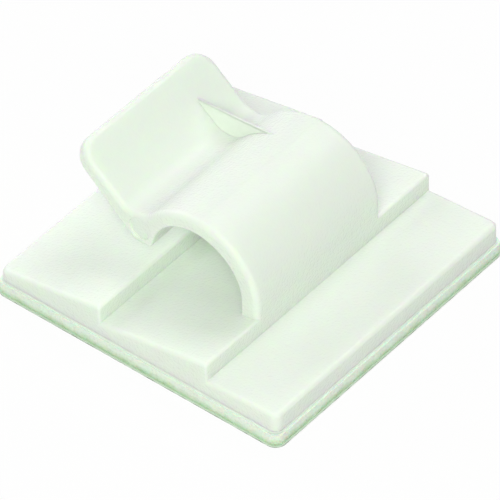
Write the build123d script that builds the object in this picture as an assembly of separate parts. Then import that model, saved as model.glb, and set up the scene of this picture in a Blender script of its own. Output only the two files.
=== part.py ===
from build123d import *
from math import cos, radians, sin, sqrt, tan
import os

# An adhesive cable clip: a moulded hook on a saw-toothed plate, with a foam pad and its liner.
# X runs across the plate, from its low edge to the side where the hook stands. Y runs along the
# cable. The origin is the centre of the liner's underside. All sizes are in millimetres.

# Base plate: a square with three ramps and two steps between them
plate_side = 28.4
plate_corner_radius = 0.7
plate_rim_radius = 0.35
step_end_radius = 0.2
low_edge_height = 1.2
entry_ridge_from_low_edge = 10.4
entry_ridge_height = 3.1
entry_step_foot_height = 1.4
hook_ridge_from_low_edge = 21.3
hook_ridge_height = 3.4
hook_step_foot_height = 1.6
far_edge_height = 2.05

# Hook: a strip that rises from the second step and arches back over the cable
hook_length = 15.6
cable_seat_radius = 4.6
cable_centre_height = 4.5
root_wall = 1.7
crown_wall = 1.45
shoulder_radius_over_seat = 1.3
back_radius_over_seat = 2.4
root_depth = 1.0
root_fillet_radius = 0.4
root_fillet_bite = 0.05
outer_edge_radius = 0.5
inner_edge_radius = 0.2

# Nose: the thick bend between the arch and the tongue, which keeps the cable in
nose_over_cable_centre = 0.4
nose_width = 1.75
nose_outer_radius = 1.2
nose_inner_radius = 0.4

# Tongue: the flared free end, which guides the cable in
tongue_length = 8.63
tip_thickness = 1.2
tip_corner_radius = 1.9
tongue_top_angle = 39.3
tongue_under_angle = 42.4
valley_radius = 2.2

# Web: a thin gusset across the valley, whose top climbs from the tongue to the arch
web_from_hook_end = 3.7
web_thickness = 0.3
web_below_crown_at_tongue = 1.0
web_below_crown_at_arch = 0.45
web_bite = 0.4
web_edge_radius = 0.1

# Pin mark: a shallow round dimple in the hook's front end, where the nose is thickest
pin_mark_radius = 1.05
pin_mark_depth = 0.12
pin_mark_from_nose_edge = 1.1
pin_mark_above_nose = 1.5

# Foam pad under the plate and the liner over its adhesive
foam_thickness = 1.05
foam_overhang = 0.25
foam_corner_radius = 0.8
liner_thickness = 0.15
liner_overhang = 0.35
liner_corner_radius = 1.0


def on_circle(centre, radius, angle):
    return centre + Vector(radius * cos(radians(angle)), radius * sin(radians(angle)))


# Where the parts lie
plate_underside = liner_thickness + foam_thickness
low_edge_x = -plate_side / 2
entry_ridge_x = low_edge_x + entry_ridge_from_low_edge
hook_ridge_x = low_edge_x + hook_ridge_from_low_edge
seat_wall_x = hook_ridge_x - root_wall
seat_centre = Vector(seat_wall_x - cable_seat_radius, plate_underside + cable_centre_height)
shoulder_radius = cable_seat_radius + shoulder_radius_over_seat
back_radius = cable_seat_radius + back_radius_over_seat
crown = Vector(hook_ridge_x - shoulder_radius, seat_centre.Y + cable_seat_radius + crown_wall)
shoulder_centre = crown - Vector(0, shoulder_radius)
back_centre = crown - Vector(0, back_radius)
nose_inner = seat_centre + Vector(-sqrt(cable_seat_radius ** 2 - nose_over_cable_centre ** 2),
                                  nose_over_cable_centre)
nose_outer = nose_inner - Vector(nose_width, 0)
tip_under = on_circle(nose_outer, tongue_length, 180 - tongue_under_angle)
tip_top = on_circle(tip_under, tip_thickness, 90 - tongue_top_angle)


def valley_corner():
    """Where the tongue's top line, coming down from the tip, first meets the back of the arch."""
    to_centre = back_centre - tip_top
    along = Vector(cos(radians(tongue_top_angle)), -sin(radians(tongue_top_angle)))
    reach = to_centre.dot(along)
    miss_squared = to_centre.length ** 2 - reach ** 2
    return tip_top + along * (reach - sqrt(back_radius ** 2 - miss_squared))


def middle_ramp_z(x):
    """Height of the ramp between the two steps."""
    rise = (hook_ridge_height - entry_step_foot_height) / (hook_ridge_x - entry_ridge_x)
    return plate_underside + entry_step_foot_height + rise * (x - entry_ridge_x)


def extrude_along_cable(section, length):
    return extrude(Plane.XZ * section, amount=length / 2, both=True)


def rounded_square(side, corner_radius, thickness, bottom):
    return Pos(0, 0, bottom) * extrude(RectangleRounded(side, side, corner_radius), amount=thickness)


def plate():
    """The saw-toothed square, its upright corners, its upper rim and the steps' ends rounded."""
    def at(x, height):
        return (x, plate_underside + height)

    section = make_face(Polyline(
        at(low_edge_x, 0),
        at(low_edge_x, low_edge_height),
        at(entry_ridge_x, entry_ridge_height),
        at(entry_ridge_x, entry_step_foot_height),
        at(hook_ridge_x, hook_ridge_height),
        at(hook_ridge_x, hook_step_foot_height),
        at(-low_edge_x, far_edge_height),
        at(-low_edge_x, 0),
        close=True,
    ))
    tallest = max(entry_ridge_height, hook_ridge_height, far_edge_height, low_edge_height)
    solid = extrude_along_cable(section, plate_side) & rounded_square(
        plate_side, plate_corner_radius, tallest, plate_underside)
    inside_rim = plate_side / 2 - plate_corner_radius
    rim = solid.edges().filter_by(Axis.Z, reverse=True).filter_by(
        lambda edge: edge.bounding_box().min.Z > plate_underside
        and max(abs(edge.center().X), abs(edge.center().Y)) > inside_rim)
    solid = fillet(rim, plate_rim_radius)
    step_ends = solid.edges().filter_by(Axis.Z).filter_by(lambda edge: abs(edge.center().X) < inside_rim)
    return fillet(step_ends, step_end_radius)


def hook_section():
    """The bent strip: up the inside, round the nose, out along the tongue and back over the arch.

    Its foot flares into the ramp, and bites into it a little, so that the two cross cleanly.
    """
    seat_start = on_circle(seat_centre, cable_seat_radius, 0)
    seat_top = on_circle(seat_centre, cable_seat_radius, 90)
    valley = valley_corner()
    shoulder_start = on_circle(shoulder_centre, shoulder_radius, 0)
    root_z = plate_underside + root_depth
    foot_x = seat_wall_x - root_fillet_radius
    foot_z = middle_ramp_z(foot_x) - root_fillet_bite
    root_centre = Vector(foot_x, foot_z + root_fillet_radius)
    foot, foot_middle, wall_start = (
        on_circle(root_centre, root_fillet_radius, angle) for angle in (-90, -45, 0))
    outline = Curve() + [
        Line((foot_x, root_z), foot),
        ThreePointArc(foot, foot_middle, wall_start),
        Line(wall_start, seat_start),
        ThreePointArc(seat_start, seat_top, nose_inner),
        Line(nose_inner, nose_outer),
        Line(nose_outer, tip_under),
        Line(tip_under, tip_top),
        Line(tip_top, valley),
        RadiusArc(valley, crown, back_radius),
        RadiusArc(crown, shoulder_start, shoulder_radius),
        Line(shoulder_start, (hook_ridge_x, root_z)),
        Line((hook_ridge_x, root_z), (foot_x, root_z)),
    ]
    section = make_face(outline)
    bends = [(valley, valley_radius), (nose_outer, nose_outer_radius), (nose_inner, nose_inner_radius)]
    for corner, radius in bends:
        section = fillet(section.vertices().sort_by_distance(corner)[0], radius)
    return section


def hook():
    """The strip with the tongue's corners cut round and its edges softened.

    Each rounding starts at the tip and follows its edge round the corners and down both ends.
    """
    solid = extrude_along_cable(hook_section(), hook_length)
    tip_face = solid.faces().sort_by(Axis.X)[0]
    solid = fillet(tip_face.edges().filter_by(Axis.Y, reverse=True), tip_corner_radius)
    for edge_from_bottom, radius in ((-1, outer_edge_radius), (0, inner_edge_radius)):
        tip_face = solid.faces().sort_by(Axis.X)[0]
        solid = fillet(tip_face.edges().filter_by(Axis.Y).sort_by(Axis.Z)[edge_from_bottom], radius)
    return solid


def web():
    """A thin wall that bites into the tongue on one side and into the arch on the other."""
    tongue_z = crown.Y - web_below_crown_at_tongue
    tongue_x = tip_top.X + (tip_top.Y - tongue_z) / tan(radians(tongue_top_angle))
    arch_z = crown.Y - web_below_crown_at_arch
    arch_x = back_centre.X - sqrt(back_radius ** 2 - (arch_z - back_centre.Y) ** 2)
    section = make_face(Polyline(
        (tongue_x - web_bite, tongue_z),
        (arch_x + web_bite, arch_z),
        valley_corner(),
        close=True,
    ))
    wall = Pos(0, hook_length / 2 - web_from_hook_end + web_thickness / 2) * extrude_along_cable(
        section, web_thickness)
    top = wall.faces().sort_by(Axis.Z)[-1]
    return fillet(top.edges().filter_by(Axis.Y, reverse=True), web_edge_radius)


def pin_mark():
    """The round plug that cuts the dimple, from its floor out past the hook's front end."""
    centre = nose_inner + Vector(-pin_mark_from_nose_edge, pin_mark_above_nose)
    floor = Plane(origin=(centre.X, pin_mark_depth - hook_length / 2, centre.Y), z_dir=(0, -1, 0))
    return extrude(floor * Circle(pin_mark_radius), amount=2 * pin_mark_depth)


def clip():
    """Plate, hook and web, moulded as one."""
    return plate() + hook() + web() - pin_mark()


def foam_pad():
    return rounded_square(plate_side + 2 * foam_overhang, foam_corner_radius, foam_thickness, liner_thickness)


def release_liner():
    return rounded_square(plate_side + 2 * liner_overhang, liner_corner_radius, liner_thickness, 0)


if __name__ == "__main__":
    os.makedirs("parts", exist_ok=True)
    for node in (clip, foam_pad, release_liner):
        export_step(node(), f"parts/{node.__name__}.step")
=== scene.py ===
"""Dresses the adhesive cable clip: satin nylon, moulding lines, cut foam, its liner, a white studio."""
import math

import bpy
from mathutils import Matrix, Vector


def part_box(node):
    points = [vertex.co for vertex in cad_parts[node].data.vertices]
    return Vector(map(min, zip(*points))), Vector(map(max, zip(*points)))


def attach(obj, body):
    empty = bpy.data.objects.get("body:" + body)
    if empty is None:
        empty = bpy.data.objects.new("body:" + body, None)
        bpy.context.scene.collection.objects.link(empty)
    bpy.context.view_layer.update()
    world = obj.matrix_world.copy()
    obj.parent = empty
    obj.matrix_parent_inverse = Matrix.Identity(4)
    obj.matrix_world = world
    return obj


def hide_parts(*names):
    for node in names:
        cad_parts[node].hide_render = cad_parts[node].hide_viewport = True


bl_info = {
    "name": "Adhesive cable clip",
    "version": (1, 0, 0),
    "blender": (4, 5, 0),
    "location": "View3D > Sidebar > Cable clip",
    "description": "Finishes a moulded cable clip with its foam pad and liner, in a white studio",
    "category": "Object",
}

MM = 0.001

# The camera that took the photograph, as fitted to the plate's edges. Its picture is 500 pixels wide.
CAMERA_AZIMUTH = math.radians(39.55)
CAMERA_ELEVATION = math.radians(43.36)
CAMERA_ROLL = math.radians(-0.70)
CAMERA_DISTANCE = 624.156 * MM
CAMERA_AIM = Vector((0, 0, 5.2)) * MM
AIM_ACROSS = 0.0146 * MM
AIM_UPRIGHT = -2.0652 * MM
SENSOR_WIDTH = 36
PICTURE_WIDTH = 500
FOCAL_LENGTH_IN_PIXELS = 7838
NEAREST_SEEN = 10 * MM

# The lamps: where each stands, the side of its square and its tint
LAMP_TARGET = Vector((0, 0, 5)) * MM
KEY_PLACE = Vector((-18, 168, 250)) * MM
KEY_SIZE = 140 * MM
KEY_TINT = (1.0, 0.95, 1.0)
FRONT_PLACE = Vector((122, -181, 206)) * MM
FRONT_SIZE = 120 * MM
FRONT_TINT = (0.93, 1.0, 0.85)
LEFT_PLACE = Vector((-250, 50, 120)) * MM
LEFT_SIZE = 200 * MM
RIGHT_PLACE = Vector((290, -40, 40)) * MM
RIGHT_SIZE = 60 * MM
WHITE = (1.0, 1.0, 1.0, 1.0)

# Patterns in the materials: the width of each one's patches, and its dark places as a share of the colour
CLOUD_SIZE = 6 * MM
CLOUD_SHADE = 0.975
LINE_PATCH_SIZE = 0.8 * MM
LINE_PATCH_SHADE = 0.92
SMEAR_SIZE = 1.2 * MM
LOWER_CELL_SHADE = 0.72
UPPER_CELL_SHADE = 0.88
FIBRE_SIZE = 1.1 * MM
FIBRE_SHADE = 0.95

# The values of a noise between which its pattern goes from none to full
SMEAR_SPAN = (0.25, 0.75)
OPEN_CELL_SPAN = (0.25, 0.5)
FIBRE_SPAN = (0.35, 0.65)

# How far up the pad the painted shade reaches (a deeper green towards the liner), how far that border
# wanders, and the relief left to shading
PAINTED_SHADE_REACH = 2 / 3
PAINTED_SHADE_DRIFT = 0.2 * MM
CELL_RELIEF = 0.035 * MM
FIBRE_RELIEF = 0.005 * MM

# Meshes: points nearer than the weld are one, and a face is level if this much of its normal is upright
WELD = 0.002 * MM
LEVEL_SHARE = 0.5
CORNER_SEGMENTS = 8
MOST_CUTS = 100
SMOOTH_ANGLE = math.radians(50)

# The clouds that move the pad's edge: their layers, and the brightness that leaves a point where it is
CLOUD_LAYERS = 2
CLOUD_MIDDLE = 0.6

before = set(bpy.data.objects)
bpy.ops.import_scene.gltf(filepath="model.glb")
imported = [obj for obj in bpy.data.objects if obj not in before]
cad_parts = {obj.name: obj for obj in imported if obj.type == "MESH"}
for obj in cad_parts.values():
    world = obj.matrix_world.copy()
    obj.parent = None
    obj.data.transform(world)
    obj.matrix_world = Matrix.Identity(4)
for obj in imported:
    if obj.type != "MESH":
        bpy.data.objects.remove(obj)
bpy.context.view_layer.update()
foam_low, foam_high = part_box("foam_pad")
clip_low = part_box("clip")[0]


class ClipFinish(bpy.types.PropertyGroup):
    """The moulded nylon."""
    colour: bpy.props.FloatVectorProperty(
        name="Colour", description="Natural nylon, milky with a green cast", subtype="COLOR", size=3,
        default=(0.87, 0.942, 0.872), min=0, max=1)
    depth_colour: bpy.props.FloatVectorProperty(
        name="Depth colour", description="How far red, green and blue light travel in the nylon, as shares",
        subtype="COLOR", size=3, default=(0.75, 1.0, 0.62), min=0, max=1)
    depth: bpy.props.FloatProperty(
        name="Depth", description="How far light travels in the nylon", default=0.6 * MM, min=0,
        unit="LENGTH")
    roughness: bpy.props.FloatProperty(
        name="Roughness", description="How dull the etched surface is, from 0, polished, to 1, dull",
        default=0.22, min=0, max=1)
    grain_height: bpy.props.FloatProperty(
        name="Grain height", description="Depth of the etched grain", default=0.09 * MM, min=0,
        unit="LENGTH")
    grain_cell: bpy.props.FloatProperty(
        name="Grain size", description="Width of the etched grain", default=0.22 * MM, min=0,
        unit="LENGTH")


class MouldingLines(bpy.types.PropertyGroup):
    """The fine raised lines where the halves of the mould met."""
    parting_place: bpy.props.FloatProperty(
        name="Parting place", description="How far along the cable the parting line runs", default=4.1 * MM,
        unit="LENGTH")
    parting_width: bpy.props.FloatProperty(
        name="Parting width", description="Width of the parting line", default=0.09 * MM, min=0,
        unit="LENGTH")
    bead_height: bpy.props.FloatProperty(
        name="Bead height", description="Height of the flash bead along the plate's lower edge",
        default=0.15 * MM, min=0, unit="LENGTH")
    raised: bpy.props.FloatProperty(
        name="Raised", description="How far the lines stand out", default=0.045 * MM, min=0, unit="LENGTH")
    sunk: bpy.props.FloatProperty(
        name="Sunk", description="How far the lines' roots lie in the nylon", default=0.03 * MM, min=0,
        unit="LENGTH")
    colour: bpy.props.FloatVectorProperty(
        name="Colour", description="The thin nylon of the lines", subtype="COLOR", size=3,
        default=(0.92, 0.97, 0.91), min=0, max=1)


class FoamFinish(bpy.types.PropertyGroup):
    """The foam pad."""
    upper_colour: bpy.props.FloatVectorProperty(
        name="Upper colour", description="Pale green foam under the plate", subtype="COLOR", size=3,
        default=(0.86, 0.94, 0.86), min=0, max=1)
    # Painted shade: the darker green that the pad's colour turns to towards the liner.
    painted_shade_colour: bpy.props.FloatVectorProperty(
        name="Lower colour", description="Greener foam next to the liner", subtype="COLOR", size=3,
        default=(0.52, 0.72, 0.46), min=0, max=1)
    corner_radius: bpy.props.FloatProperty(
        name="Corner radius", description="Radius of the pad's upright corners", default=0.8 * MM, min=0,
        unit="LENGTH")
    cell: bpy.props.FloatProperty(
        name="Cell size", description="Size of the cells opened by the cut", default=0.16 * MM, min=0,
        unit="LENGTH")
    cell_depth: bpy.props.FloatProperty(
        name="Cell depth", description="Depth of the open cells in the cut edge", default=0.10 * MM, min=0,
        unit="LENGTH")
    wave: bpy.props.FloatProperty(
        name="Wave length", description="Length of the cut edge's slow waves", default=3.5 * MM, min=0,
        unit="LENGTH")
    wave_depth: bpy.props.FloatProperty(
        name="Wave depth", description="How far the cut edge swings in and out", default=0.07 * MM, min=0,
        unit="LENGTH")
    crown: bpy.props.FloatProperty(
        name="Crown", description="How far the squeezed edge bulges between its faces", default=0.06 * MM,
        min=0, unit="LENGTH")


class LinerFinish(bpy.types.PropertyGroup):
    """The release liner."""
    colour: bpy.props.FloatVectorProperty(
        name="Colour", description="Pale coated paper", subtype="COLOR", size=3,
        default=(0.70, 0.80, 0.70), min=0, max=1)
    # Painted shadow: the dark line along the lower cut edge stands in for the contact shadow under the
    # liner.
    painted_shadow_colour: bpy.props.FloatVectorProperty(
        name="Edge colour", description="The darker line along the lower cut edge", subtype="COLOR", size=3,
        default=(0.26, 0.34, 0.25), min=0, max=1)
    painted_shadow_height: bpy.props.FloatProperty(
        name="Edge height", description="Height of the dark line on the cut edge", default=0.06 * MM, min=0,
        unit="LENGTH")


class StudioSettings(bpy.types.PropertyGroup):
    """Floor, lamps and camera."""
    floor_size: bpy.props.FloatProperty(
        name="Floor size", description="Side of the square floor", default=600 * MM, min=0, unit="LENGTH")
    floor_shade: bpy.props.FloatProperty(
        name="Floor shade", description="How much light the floor sends back, from 0 to 1", default=0.8,
        min=0, max=1)
    floor_white: bpy.props.FloatProperty(
        name="Floor white", description="How far the camera sees the floor as plain white, from 0 to 1",
        default=0.96, min=0, max=1)
    key_power: bpy.props.FloatProperty(
        name="Key lamp", description="Power of the lamp above and behind the clip, in watts", default=0.23,
        min=0)
    front_power: bpy.props.FloatProperty(
        name="Front lamp", description="Power of the lamp beside the camera, in watts", default=0.50, min=0)
    left_power: bpy.props.FloatProperty(
        name="Left lamp", description="Power of the lamp on the tongue's side, in watts", default=0.27,
        min=0)
    right_power: bpy.props.FloatProperty(
        name="Right lamp", description="Power of the low lamp on the plate's right side, in watts",
        default=0.01, min=0)
    room_light: bpy.props.FloatProperty(
        name="Room light", description="Strength of the even light all round", default=0.34, min=0)


def sockets(node, **values):
    """Sets a node's inputs, named with underscores for spaces."""
    for name, value in values.items():
        node.inputs[name.replace("_", " ")].default_value = value


def rgba(colour):
    return (*colour, 1.0)


def darker(colour, share):
    """A share of the colour, solid."""
    return rgba([part * share for part in colour])


def new_tree(block):
    """The emptied node tree of a material or a world."""
    block.use_nodes = True
    block.node_tree.nodes.clear()
    return block.node_tree


def new_material(name):
    """A material whose output and shader are joined, with its tree, its shader and its coordinates."""
    material = bpy.data.materials.new(name)
    tree = new_tree(material)
    output = tree.nodes.new("ShaderNodeOutputMaterial")
    shader = tree.nodes.new("ShaderNodeBsdfPrincipled")
    tree.links.new(shader.outputs["BSDF"], output.inputs["Surface"])
    coordinates = tree.nodes.new("ShaderNodeTexCoord")
    return material, tree, shader, coordinates


def add_noise(tree, coordinates, size, detail, roughness=0.5):
    """Noise whose patches are about as wide as the given size."""
    noise = tree.nodes.new("ShaderNodeTexNoise")
    sockets(noise, Scale=1 / size, Detail=detail, Roughness=roughness)
    tree.links.new(coordinates.outputs["Object"], noise.inputs["Vector"])
    return noise


def add_mix(tree, factor, low, high):
    """A colour between two, which are each a colour or another node's output."""
    mix = tree.nodes.new("ShaderNodeMix")
    mix.data_type = "RGBA"
    tree.links.new(factor, mix.inputs["Factor"])
    for socket, colour in (("A", low), ("B", high)):
        if isinstance(colour, bpy.types.NodeSocket):
            tree.links.new(colour, mix.inputs[socket])
        else:
            mix.inputs[socket].default_value = colour
    return mix.outputs["Result"]


def add_range(tree, value, span, result):
    """The value, clamped to a span and spread over another, each given as its two ends."""
    spread = tree.nodes.new("ShaderNodeMapRange")
    sockets(spread, From_Min=span[0], From_Max=span[1], To_Min=result[0], To_Max=result[1])
    tree.links.new(value, spread.inputs["Value"])
    return spread.outputs["Result"]


def add_sum(tree, first, second):
    total = tree.nodes.new("ShaderNodeMath")
    total.operation = "ADD"
    tree.links.new(first, total.inputs[0])
    tree.links.new(second, total.inputs[1])
    return total.outputs["Value"]


def add_bump(tree, height, distance, shader, layer="Normal"):
    """Relief of the given depth in the shader, or in one layer of it."""
    bump = tree.nodes.new("ShaderNodeBump")
    sockets(bump, Distance=distance)
    tree.links.new(height, bump.inputs["Height"])
    tree.links.new(bump.outputs["Normal"], shader.inputs[layer])


def height_in(tree, coordinates):
    """The height of each point above the liner's underside."""
    parts = tree.nodes.new("ShaderNodeSeparateXYZ")
    tree.links.new(coordinates.outputs["Object"], parts.inputs["Vector"])
    return parts.outputs["Z"]


def nylon_material(finish):
    """Milky nylon: light sinks in, and an etched grain breaks up the gloss."""
    material, tree, shader, coordinates = new_material("satin_nylon")
    sockets(shader, Roughness=0.6, IOR=1.53, Subsurface_Weight=1.0, Subsurface_Scale=finish.depth,
            Subsurface_Radius=finish.depth_colour, Specular_IOR_Level=0.2, Coat_Weight=0.65,
            Coat_Roughness=finish.roughness)
    cloud = add_noise(tree, coordinates, CLOUD_SIZE, detail=3)
    tint = add_mix(tree, cloud.outputs["Fac"], darker(finish.colour, CLOUD_SHADE), rgba(finish.colour))
    tree.links.new(tint, shader.inputs["Base Color"])
    grain = add_noise(tree, coordinates, finish.grain_cell, detail=1)
    add_bump(tree, grain.outputs["Fac"], finish.grain_height, shader, "Coat Normal")
    return material


def line_material(lines):
    """The thin nylon of the moulding lines, too thin for light to sink far into."""
    material, tree, shader, coordinates = new_material("nylon_line")
    sockets(shader, Roughness=0.35, IOR=1.53)
    patches = add_noise(tree, coordinates, LINE_PATCH_SIZE, detail=3)
    tint = add_mix(tree, patches.outputs["Fac"], darker(lines.colour, LINE_PATCH_SHADE), rgba(lines.colour))
    tree.links.new(tint, shader.inputs["Base Color"])
    return material


def foam_material(finish):
    """Foam with open cells, pale green under the plate, with painted shade: a deeper green towards the
    liner.
    """
    material, tree, shader, coordinates = new_material("cut_foam")
    sockets(shader, Roughness=0.85, IOR=1.4, Subsurface_Weight=0.5, Subsurface_Scale=0.4 * MM)
    height = height_in(tree, coordinates)
    smear = add_noise(tree, coordinates, SMEAR_SIZE, detail=3)
    drift = add_range(tree, smear.outputs["Fac"], SMEAR_SPAN, (-PAINTED_SHADE_DRIFT, PAINTED_SHADE_DRIFT))
    # Painted shade: the colour turns darker and greener from this height down to the liner.
    painted_shade_top = foam_low.z + PAINTED_SHADE_REACH * (foam_high.z - foam_low.z)
    share = add_range(tree, add_sum(tree, height, drift), (foam_low.z, painted_shade_top), (0, 1))
    painted_shade_blend = add_mix(tree, share, rgba(finish.painted_shade_colour), rgba(finish.upper_colour))
    speckle = add_noise(tree, coordinates, finish.cell, detail=2, roughness=0.7)
    dark_cells = add_range(tree, speckle.outputs["Fac"], OPEN_CELL_SPAN, (1, 0))
    shaded = add_mix(tree, share, darker(finish.painted_shade_colour, LOWER_CELL_SHADE),
                     darker(finish.upper_colour, UPPER_CELL_SHADE))
    tree.links.new(add_mix(tree, dark_cells, painted_shade_blend, shaded), shader.inputs["Base Color"])
    cells = tree.nodes.new("ShaderNodeTexVoronoi")
    sockets(cells, Scale=1 / finish.cell)
    tree.links.new(coordinates.outputs["Object"], cells.inputs["Vector"])
    add_bump(tree, cells.outputs["Distance"], CELL_RELIEF, shader)
    return material


def liner_material(finish):
    """Coated paper, with a painted contact shadow: a dark line along its lower cut edge."""
    material, tree, shader, coordinates = new_material("coated_paper")
    sockets(shader, Roughness=0.5, IOR=1.45)
    fibres = add_noise(tree, coordinates, FIBRE_SIZE, detail=4)
    paper = add_mix(tree, fibres.outputs["Fac"], darker(finish.colour, FIBRE_SHADE), rgba(finish.colour))
    # Painted contact shadow along the lower cut edge, its border broken up by the fibre noise.
    broken = add_range(tree, fibres.outputs["Fac"], FIBRE_SPAN, (-finish.painted_shadow_height, finish.painted_shadow_height))
    reach = add_sum(tree, height_in(tree, coordinates), broken)
    share = add_range(tree, reach, (finish.painted_shadow_height / 2, finish.painted_shadow_height), (0, 1))
    tree.links.new(add_mix(tree, share, rgba(finish.painted_shadow_colour), paper), shader.inputs["Base Color"])
    add_bump(tree, fibres.outputs["Fac"], FIBRE_RELIEF, shader)
    return material


def dress(node, material):
    """Puts a material on a piece of the CAD model, in place of its plain one."""
    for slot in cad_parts[node].material_slots:
        slot.material = material


def deselect_all():
    if bpy.context.object and bpy.context.object.mode != "OBJECT":
        bpy.ops.object.mode_set(mode="OBJECT")
    bpy.ops.object.select_all(action="DESELECT")


def select_edges(piece, wanted):
    """Leaves edit mode on, with only the edges selected whose two ends the test accepts."""
    bpy.ops.object.mode_set(mode="EDIT")
    bpy.context.tool_settings.mesh_select_mode = (False, True, False)
    bpy.ops.mesh.select_all(action="DESELECT")
    bpy.ops.object.mode_set(mode="OBJECT")
    points = piece.data.vertices
    for edge in piece.data.edges:
        edge.select = wanted(*(points[index].co for index in edge.vertices))
    bpy.ops.object.mode_set(mode="EDIT")


def select_faces(piece, wanted):
    """Leaves edit mode on, with only the faces selected that the test accepts."""
    bpy.ops.object.mode_set(mode="EDIT")
    bpy.context.tool_settings.mesh_select_mode = (False, False, True)
    bpy.ops.mesh.select_all(action="DESELECT")
    bpy.ops.object.mode_set(mode="OBJECT")
    for face in piece.data.polygons:
        face.select = wanted(face)
    bpy.ops.object.mode_set(mode="EDIT")


def apply_modifier(piece, kind, **values):
    """Gives the active piece a modifier with these values, and applies it."""
    modifier = piece.modifiers.new(kind.lower(), kind)
    for name, value in values.items():
        setattr(modifier, name, value)
    bpy.ops.object.modifier_apply(modifier=modifier.name)


def is_upright(one, other):
    """Whether the edge between two points climbs more than it goes sideways."""
    return abs(one.z - other.z) > abs(one.x - other.x) + abs(one.y - other.y)


def is_level(face):
    return abs(face.normal.z) > LEVEL_SHARE


def level_length(one, other):
    """How far apart two points are, seen from above."""
    return (one - other).xy.length


class CLIP_OT_nylon(bpy.types.Operator):
    """Gives the moulded clip its satin nylon"""
    bl_idname = "cable_clip.nylon"
    bl_label = "Finish nylon clip"

    def execute(self, context):
        dress("clip", nylon_material(context.scene.clip_finish))
        return {"FINISHED"}


def line_from_clip(name, material, cuts, keep, lines):
    """A raised line: the strip of the clip's surface between two cuts, given its thickness."""
    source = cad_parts["clip"]
    mesh = source.data.copy()
    mesh.transform(source.matrix_world)
    piece = bpy.data.objects.new(name, mesh)
    mesh.name = name
    bpy.context.scene.collection.objects.link(piece)
    deselect_all()
    piece.select_set(True)
    bpy.context.view_layer.objects.active = piece
    bpy.ops.object.mode_set(mode="EDIT")
    bpy.ops.mesh.select_all(action="SELECT")
    bpy.ops.mesh.remove_doubles(threshold=WELD)
    for place, normal in cuts:
        bpy.ops.mesh.select_all(action="SELECT")
        bpy.ops.mesh.bisect(plane_co=place, plane_no=normal, clear_outer=True)
    select_faces(piece, lambda face: not keep(face))
    bpy.ops.mesh.delete(type="FACE")
    bpy.ops.object.mode_set(mode="OBJECT")
    thickness = lines.raised + lines.sunk
    apply_modifier(piece, "SOLIDIFY", thickness=thickness, offset=(lines.raised - lines.sunk) / thickness,
                   use_even_offset=True)
    mesh.materials.clear()
    mesh.materials.append(material)
    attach(piece, "root")


class CLIP_OT_lines(bpy.types.Operator):
    """Models the parting line over hook and plate, and the flash bead along the plate's lower edge"""
    bl_idname = "cable_clip.lines"
    bl_label = "Model moulding lines"

    def execute(self, context):
        lines = context.scene.moulding_lines
        material = line_material(lines)
        half = Vector((0, lines.parting_width / 2, 0))
        middle = Vector((0, lines.parting_place, 0))
        underside = clip_low.z + WELD
        line_from_clip("parting_line", material, [(middle + half, (0, 1, 0)), (middle - half, (0, -1, 0))],
                       lambda face: face.center.z > underside, lines)
        bead_top = Vector((0, 0, clip_low.z + lines.bead_height))
        line_from_clip("edge_bead", material, [(bead_top, (0, 0, 1))],
                       lambda face: not is_level(face), lines)
        return {"FINISHED"}


def divide_walls(pad, step):
    """Divides the pad's open side walls into small faces, none wider than the step."""
    size = foam_high - foam_low
    for cuts in (MOST_CUTS, math.ceil(size.x / MOST_CUTS / step)):
        points = pad.data.vertices
        longest = max(level_length(*(points[index].co for index in edge.vertices))
                      for edge in pad.data.edges)
        select_edges(pad, lambda one, other: level_length(one, other) > longest / 2)
        bpy.ops.mesh.subdivide(number_cuts=cuts)
        bpy.ops.object.mode_set(mode="OBJECT")
    select_edges(pad, is_upright)
    bpy.ops.mesh.subdivide(number_cuts=math.ceil(size.z / step))
    bpy.ops.object.mode_set(mode="OBJECT")


def roughen(pad, name, size, depth):
    """Pushes the pad's open side walls in and out by a cloud pattern of the given size."""
    pattern = bpy.data.textures.new(name, "CLOUDS")
    pattern.noise_scale = size
    pattern.noise_depth = CLOUD_LAYERS
    apply_modifier(pad, "DISPLACE", texture=pattern, texture_coords="LOCAL", strength=depth,
                   mid_level=CLOUD_MIDDLE)


def swell(pad, crown):
    """Bulges the pad's side walls between its two faces, as if it were pressed on."""
    middle = (foam_low + foam_high) / 2
    half = (foam_high - foam_low) / 2
    for vertex in pad.data.vertices:
        from_middle = (vertex.co.z - middle.z) / half.z
        growth = 1 + crown / half.x * (1 - from_middle ** 2)
        vertex.co.x *= growth
        vertex.co.y *= growth


def close_faces(pad):
    """Fills the pad's two flat faces and turns every face outwards."""
    for level in (foam_low.z, foam_high.z):
        select_edges(pad, lambda one, other: max(abs(one.z - level), abs(other.z - level)) < WELD)
        bpy.ops.mesh.edge_face_add()
    bpy.ops.mesh.select_all(action="SELECT")
    bpy.ops.mesh.normals_make_consistent(inside=False)
    bpy.ops.object.mode_set(mode="OBJECT")


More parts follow.
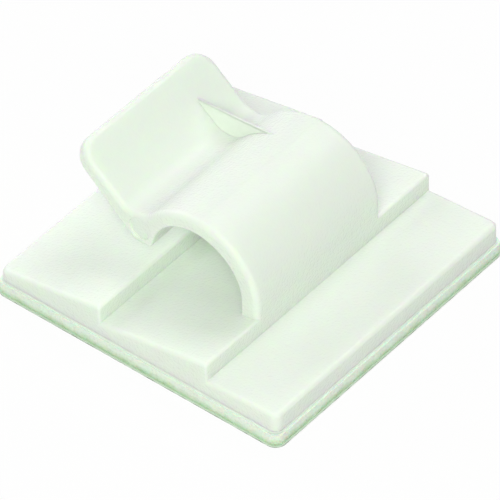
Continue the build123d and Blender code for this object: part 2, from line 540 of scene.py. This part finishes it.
class CLIP_OT_foam(bpy.types.Operator):
    """Models the foam pad with its rough cut edge"""
    bl_idname = "cable_clip.foam"
    bl_label = "Model foam pad"

    def execute(self, context):
        finish = context.scene.foam_finish
        deselect_all()
        bpy.ops.mesh.primitive_cube_add(size=1, location=(foam_low + foam_high) / 2,
                                        scale=foam_high - foam_low)
        pad = context.object
        pad.name = pad.data.name = "foam_pad_soft"
        bpy.ops.object.transform_apply(location=True, rotation=True, scale=True)
        select_edges(pad, is_upright)
        bpy.ops.mesh.bevel(offset=finish.corner_radius, segments=CORNER_SEGMENTS, affect="EDGES")
        select_faces(pad, is_level)
        bpy.ops.mesh.delete(type="ONLY_FACE")
        divide_walls(pad, finish.cell / 2)
        roughen(pad, "edge_waves", finish.wave, finish.wave_depth)
        roughen(pad, "open_cells", finish.cell, finish.cell_depth)
        swell(pad, finish.crown)
        close_faces(pad)
        bpy.ops.object.shade_smooth_by_angle(angle=SMOOTH_ANGLE)
        pad.data.materials.append(foam_material(finish))
        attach(pad, "root")
        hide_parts("foam_pad")
        return {"FINISHED"}


class CLIP_OT_liner(bpy.types.Operator):
    """Gives the release liner its coated paper"""
    bl_idname = "cable_clip.liner"
    bl_label = "Finish release liner"

    def execute(self, context):
        dress("release_liner", liner_material(context.scene.liner_finish))
        return {"FINISHED"}


def white_when_seen(tree, seen_rays, share):
    """How far a ray of the named kinds meets plain white, from 0 to the given share."""
    path = tree.nodes.new("ShaderNodeLightPath")
    seen = path.outputs[seen_rays[0]]
    for kind in seen_rays[1:]:
        either = tree.nodes.new("ShaderNodeMath")
        either.operation = "MAXIMUM"
        tree.links.new(seen, either.inputs[0])
        tree.links.new(path.outputs[kind], either.inputs[1])
        seen = either.outputs["Value"]
    return add_range(tree, seen, (0, 1), (0, share))


def white_floor(settings):
    """A matte floor that the camera and reflections see as almost plain white."""
    material = bpy.data.materials.new("white_floor")
    tree = new_tree(material)
    output = tree.nodes.new("ShaderNodeOutputMaterial")
    matte = tree.nodes.new("ShaderNodeBsdfDiffuse")
    matte.inputs["Color"].default_value = darker(WHITE[:3], settings.floor_shade)
    glow = tree.nodes.new("ShaderNodeEmission")
    mix = tree.nodes.new("ShaderNodeMixShader")
    rays = ("Is Camera Ray", "Is Glossy Ray", "Is Transmission Ray")
    tree.links.new(white_when_seen(tree, rays, settings.floor_white), mix.inputs["Fac"])
    tree.links.new(matte.outputs["BSDF"], mix.inputs[1])
    tree.links.new(glow.outputs["Emission"], mix.inputs[2])
    tree.links.new(mix.outputs["Shader"], output.inputs["Surface"])
    return material


def white_room(settings):
    """Even light all round, which the camera sees as plain white."""
    world = bpy.data.worlds.new("soft_room")
    tree = new_tree(world)
    output = tree.nodes.new("ShaderNodeOutputWorld")
    room = tree.nodes.new("ShaderNodeBackground")
    sockets(room, Color=WHITE, Strength=settings.room_light)
    backdrop = tree.nodes.new("ShaderNodeBackground")
    sockets(backdrop, Color=WHITE, Strength=1.0)
    mix = tree.nodes.new("ShaderNodeMixShader")
    tree.links.new(white_when_seen(tree, ("Is Camera Ray",), 1.0), mix.inputs["Fac"])
    tree.links.new(room.outputs["Background"], mix.inputs[1])
    tree.links.new(backdrop.outputs["Background"], mix.inputs[2])
    tree.links.new(mix.outputs["Shader"], output.inputs["Surface"])
    return world


def add_lamp(name, place, size, power, tint):
    """A square lamp that faces the clip."""
    lamp = bpy.data.lights.new(name, "AREA")
    lamp.shape = "SQUARE"
    lamp.size = size
    lamp.energy = power
    lamp.color = tint
    holder = bpy.data.objects.new(name, lamp)
    bpy.context.scene.collection.objects.link(holder)
    holder.location = place
    holder.rotation_euler = (LAMP_TARGET - place).to_track_quat("-Z", "Y").to_euler()


def add_camera():
    """The photograph's camera, turned about its line of sight by the roll."""
    back = Vector((math.sin(CAMERA_AZIMUTH) * math.cos(CAMERA_ELEVATION),
                   -math.cos(CAMERA_AZIMUTH) * math.cos(CAMERA_ELEVATION),
                   math.sin(CAMERA_ELEVATION)))
    level = Vector((math.cos(CAMERA_AZIMUTH), math.sin(CAMERA_AZIMUTH), 0))
    up = back.cross(level)
    across = math.cos(CAMERA_ROLL) * level + math.sin(CAMERA_ROLL) * up
    upright = math.cos(CAMERA_ROLL) * up - math.sin(CAMERA_ROLL) * level
    aim = CAMERA_AIM + AIM_ACROSS * across + AIM_UPRIGHT * upright
    camera = bpy.data.cameras.new("photo_camera")
    camera.lens = FOCAL_LENGTH_IN_PIXELS * SENSOR_WIDTH / PICTURE_WIDTH
    camera.sensor_width = SENSOR_WIDTH
    camera.clip_start = NEAREST_SEEN
    holder = bpy.data.objects.new("photo_camera", camera)
    bpy.context.scene.collection.objects.link(holder)
    turn = Matrix((across, upright, back)).transposed()
    holder.matrix_world = Matrix.Translation(aim + back * CAMERA_DISTANCE) @ turn.to_4x4()
    bpy.context.scene.camera = holder


class CLIP_OT_studio(bpy.types.Operator):
    """Builds the white floor, the soft lamps and the camera"""
    bl_idname = "cable_clip.studio"
    bl_label = "Set up studio"

    def execute(self, context):
        settings = context.scene.clip_studio
        deselect_all()
        bpy.ops.mesh.primitive_plane_add(size=settings.floor_size, location=(0, 0, 0))
        floor = context.object
        floor.name = floor.data.name = "studio_floor"
        floor.data.materials.append(white_floor(settings))
        context.scene.world = white_room(settings)
        add_lamp("key_lamp", KEY_PLACE, KEY_SIZE, settings.key_power, KEY_TINT)
        add_lamp("front_lamp", FRONT_PLACE, FRONT_SIZE, settings.front_power, FRONT_TINT)
        add_lamp("left_lamp", LEFT_PLACE, LEFT_SIZE, settings.left_power, WHITE[:3])
        add_lamp("right_lamp", RIGHT_PLACE, RIGHT_SIZE, settings.right_power, WHITE[:3])
        add_camera()
        context.scene.view_settings.view_transform = "Standard"
        return {"FINISHED"}


class CLIP_PT_panel(bpy.types.Panel):
    """Lists the steps that dress the clip"""
    bl_idname = "CLIP_PT_panel"
    bl_label = "Cable clip"
    bl_space_type = "VIEW_3D"
    bl_region_type = "UI"
    bl_category = "Cable clip"

    def draw(self, context):
        for step in STEPS:
            self.layout.operator(step.bl_idname)


SETTINGS = {"clip_finish": ClipFinish, "moulding_lines": MouldingLines, "foam_finish": FoamFinish,
            "liner_finish": LinerFinish, "clip_studio": StudioSettings}
STEPS = (CLIP_OT_studio, CLIP_OT_nylon, CLIP_OT_lines, CLIP_OT_foam, CLIP_OT_liner)


def register():
    for group in (*SETTINGS.values(), *STEPS, CLIP_PT_panel):
        bpy.utils.register_class(group)
    for name, group in SETTINGS.items():
        setattr(bpy.types.Scene, name, bpy.props.PointerProperty(type=group))


def unregister():
    for name in SETTINGS:
        delattr(bpy.types.Scene, name)
    for group in reversed((*SETTINGS.values(), *STEPS, CLIP_PT_panel)):
        bpy.utils.unregister_class(group)


def main():
    register()
    bpy.ops.cable_clip.studio()
    bpy.ops.cable_clip.nylon()
    bpy.ops.cable_clip.lines()
    bpy.ops.cable_clip.foam()
    bpy.ops.cable_clip.liner()


if __name__ == "__main__":
    main()
